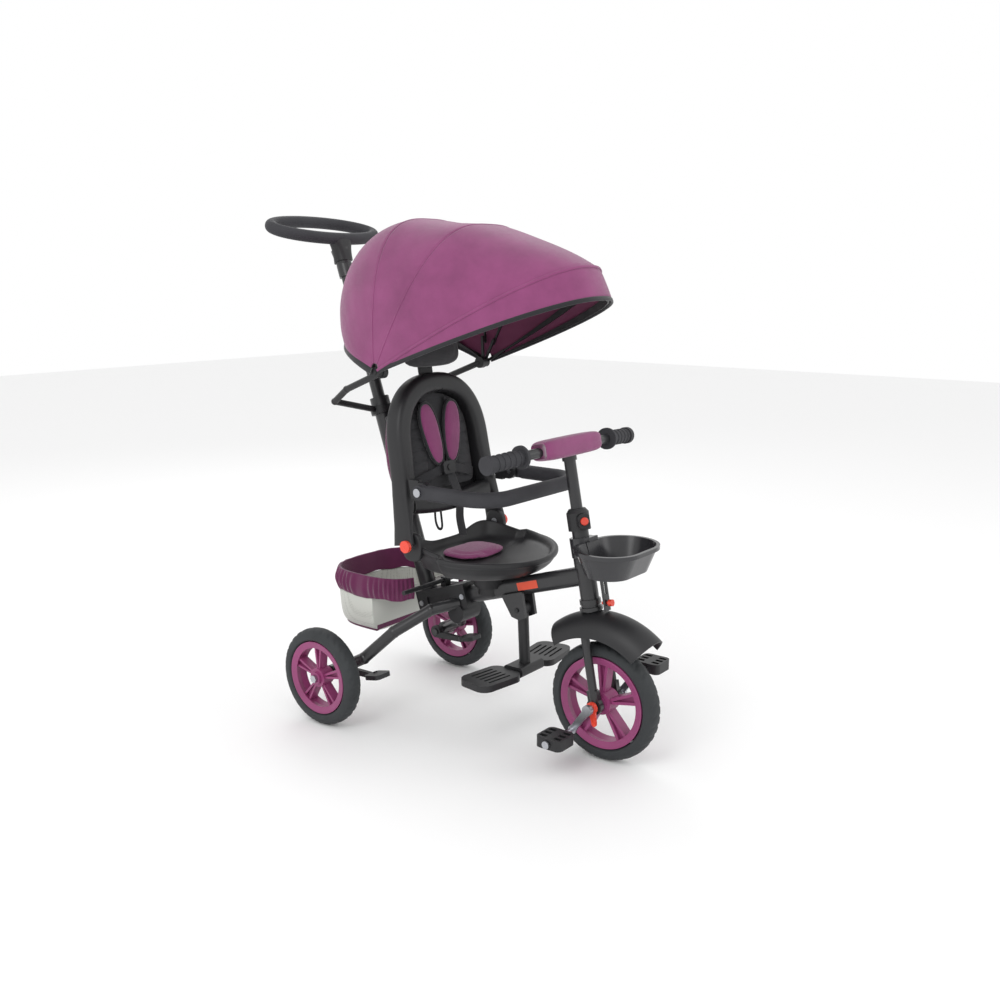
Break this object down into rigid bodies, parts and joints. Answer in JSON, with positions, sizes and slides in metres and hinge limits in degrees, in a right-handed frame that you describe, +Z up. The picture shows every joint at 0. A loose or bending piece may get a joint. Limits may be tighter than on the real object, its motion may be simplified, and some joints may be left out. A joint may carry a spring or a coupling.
{
  "type": "children's tricycle",
  "caption": "Children's tricycle with folding canopy, push handle, reclining seat with guardrail, front tray, rear basket and folding footrest.",
  "frame": {"origin": "floor level under the middle of the overall box", "axes": "+X forward, +Y to the rider's left, +Z up"},
  "size_m": [0.9793, 0.52, 1.1147],
  "materials": {
    "black_plastic": "moulded, fine grain",
    "gloss_black": "glossy moulding",
    "frame_paint": "satin black powder coat",
    "rim_plastic": "satin coloured moulding",
    "tyre_rubber": "smooth foam rubber",
    "foam_rubber": "soft foam sleeve",
    "bright_steel": "zinc plated",
    "red_plastic": "glossy button",
    "canopy_fabric": "woven polyester",
    "dark_fabric": "woven polyester",
    "black_fabric": "padded mesh fabric",
    "mesh_fabric": "open net",
    "sticker": "plain vinyl"
  },
  "bodies": {
    "frame": {"head_tube": "frame_paint", "main_tube": "frame_paint", "side_stickers": "sticker", "rear_junction": "black_plastic", "junction_rivets": "bright_steel", "rear_leg_right": "frame_paint", "rear_leg_left": "frame_paint", "wheel_bolts": "bright_steel", "seat_shell": "black_plastic", "seat_pedestal": "black_plastic", "seat_pad": "canopy_fabric", "recline_pins": "bright_steel", "handle_lower_tube": "frame_paint", "canopy_bracket": "black_plastic", "canopy_rear_bow": "black_plastic", "canopy_rear_cloth": "canopy_fabric", "basket_rim": "dark_fabric", "basket_tub": "mesh_fabric", "footrest_lugs": "frame_paint"},
    "steering": {"fork": "frame_paint", "fender": "black_plastic", "stem_tube": "frame_paint", "stem_clamp": "black_plastic", "tray": "gloss_black"},
    "front_wheel": {"front_tyre": "tyre_rubber", "front_rim": "rim_plastic"},
    "cranks": {"crank_set": "bright_steel"},
    "pedal_body_right": {"pedal_right": "black_plastic"},
    "pedal_body_left": {"pedal_left": "black_plastic"},
    "knob": {"fork_knob": "red_plastic"},
    "clutch": {"clutch_lever": "red_plastic"},
    "bar": {"handlebar": "frame_paint", "handlebar_pad": "canopy_fabric", "grips": "foam_rubber"},
    "clamp_push": {"clamp_button": "red_plastic"},
    "rear_wheel_right": {"rear_rim_right": "rim_plastic", "rear_tyre_right": "tyre_rubber"},
    "rear_wheel_left": {"rear_rim_left": "rim_plastic", "rear_tyre_left": "tyre_rubber"},
    "brake_right": {"brake_lever_right": "black_plastic"},
    "brake_left": {"brake_lever_left": "black_plastic"},
    "backrest": {"backrest_shell": "black_plastic", "backrest_padding": "black_fabric", "shoulder_pads": "canopy_fabric", "harness_buckle": "black_plastic", "harness_straps": "black_fabric", "guardrail_sockets": "black_plastic", "guardrail_screws": "bright_steel", "storage_bag": "dark_fabric"},
    "recline_push_right": {"recline_button_right": "red_plastic"},
    "recline_push_left": {"recline_button_left": "red_plastic"},
    "head_pad": {"headrest": "black_fabric"},
    "rail": {"guardrail": "foam_rubber"},
    "push_handle": {"handle_upper": "frame_paint", "handle_ring": "foam_rubber"},
    "canopy_mid": {"canopy_mid_bow": "black_plastic", "canopy_mid_cloth": "canopy_fabric"},
    "canopy_front": {"canopy_front_bow": "black_plastic", "canopy_front_cloth": "canopy_fabric"},
    "foot_plates": {"footrest": "black_plastic"}
  },
  "joints": [
    {"name": "steering", "type": "hinge", "parent": "frame", "child": "steering", "pos_m": [0.365, 0, 0.125], "axis": [-0.1908, 0, 0.9816], "range_deg": [-30, 30]},
    {"name": "front_wheel_spin", "type": "hinge", "parent": "steering", "child": "front_wheel", "pos_m": [0.365, 0, 0.125], "axis": [0, 1, 0], "continuous": true},
    {"name": "crank_spin", "type": "hinge", "parent": "steering", "child": "cranks", "pos_m": [0.365, 0, 0.125], "axis": [0, 1, 0], "continuous": true},
    {"name": "pedal_spin_right", "type": "hinge", "parent": "cranks", "child": "pedal_body_right", "pos_m": [0.33059, 0, 0.07585], "axis": [0, 1, 0], "continuous": true},
    {"name": "pedal_spin_left", "type": "hinge", "parent": "cranks", "child": "pedal_body_left", "pos_m": [0.39942, 0, 0.17415], "axis": [0, 1, 0], "continuous": true},
    {"name": "fork_knob_push", "type": "slide", "parent": "steering", "child": "knob", "axis": [0.9816, 0, 0.1908], "range_m": [-0.004, 0], "stiffness_N_per_m": 300},
    {"name": "clutch_turn", "type": "hinge", "parent": "steering", "child": "clutch", "pos_m": [0.365, 0, 0.125], "axis": [0, 1, 0], "range_deg": [-20, 20]},
    {"name": "handlebar_height", "type": "slide", "parent": "steering", "child": "bar", "axis": [-0.1908, 0, 0.9816], "range_m": [-0.025, 0.02]},
    {"name": "clamp_button_push", "type": "slide", "parent": "steering", "child": "clamp_push", "axis": [0.8041, -0.5736, 0.1563], "range_m": [-0.004, 0], "stiffness_N_per_m": 300},
    {"name": "rear_wheel_spin_right", "type": "hinge", "parent": "frame", "child": "rear_wheel_right", "pos_m": [-0.228, 0, 0.11], "axis": [0, 1, 0], "continuous": true},
    {"name": "rear_wheel_spin_left", "type": "hinge", "parent": "frame", "child": "rear_wheel_left", "pos_m": [-0.228, 0, 0.11], "axis": [0, 1, 0], "continuous": true},
    {"name": "brake_press_right", "type": "hinge", "parent": "frame", "child": "brake_right", "pos_m": [-0.228, 0, 0.11], "axis": [0, 1, 0], "range_deg": [0, 12], "stiffness_Nm_per_rad": 2, "springref_deg": -2.86},
    {"name": "brake_press_left", "type": "hinge", "parent": "frame", "child": "brake_left", "pos_m": [-0.228, 0, 0.11], "axis": [0, 1, 0], "range_deg": [0, 12], "stiffness_Nm_per_rad": 2, "springref_deg": -2.86},
    {"name": "backrest_recline", "type": "hinge", "parent": "frame", "child": "backrest", "pos_m": [-0.03, 0, 0.423], "axis": [0, -1, 0], "range_deg": [0, 12]},
    {"name": "recline_button_push_right", "type": "slide", "parent": "backrest", "child": "recline_push_right", "axis": [0, -1, 0], "range_m": [-0.004, 0], "stiffness_N_per_m": 300},
    {"name": "recline_button_push_left", "type": "slide", "parent": "backrest", "child": "recline_push_left", "axis": [0, 1, 0], "range_m": [-0.004, 0], "stiffness_N_per_m": 300},
    {"name": "headrest_height", "type": "slide", "parent": "backrest", "child": "head_pad", "axis": [-0.1736, 0, 0.9848], "range_m": [0, 0.04]},
    {"name": "guardrail_lift", "type": "hinge", "parent": "backrest", "child": "rail", "pos_m": [0.01, 0, 0.544], "axis": [0, -1, 0], "range_deg": [0, 90]},
    {"name": "push_handle_height", "type": "slide", "parent": "frame", "child": "push_handle", "axis": [-0.3206, 0, 0.9472], "range_m": [-0.12, 0]},
    {"name": "canopy_mid_fold", "type": "hinge", "parent": "frame", "child": "canopy_mid", "pos_m": [-0.09, 0, 0.785], "axis": [0, -1, 0], "range_deg": [0, 21], "deforming": ["canopy_mid_cloth"]},
    {"name": "canopy_front_fold", "type": "hinge", "parent": "canopy_mid", "child": "canopy_front", "pos_m": [-0.09, 0, 0.785], "axis": [0, -1, 0], "range_deg": [0, 27], "deforming": ["canopy_front_cloth"]},
    {"name": "footrest_fold", "type": "hinge", "parent": "frame", "child": "foot_plates", "pos_m": [0.154, 0, 0.283], "axis": [0, 1, 0], "range_deg": [0, 60]}
  ],
  "couplings": [
    {"joint": "crank_spin", "follows": "front_wheel_spin", "ratio": 1},
    {"joint": "canopy_front_fold", "follows": "canopy_mid_fold", "ratio": 1.2857}
  ]
}
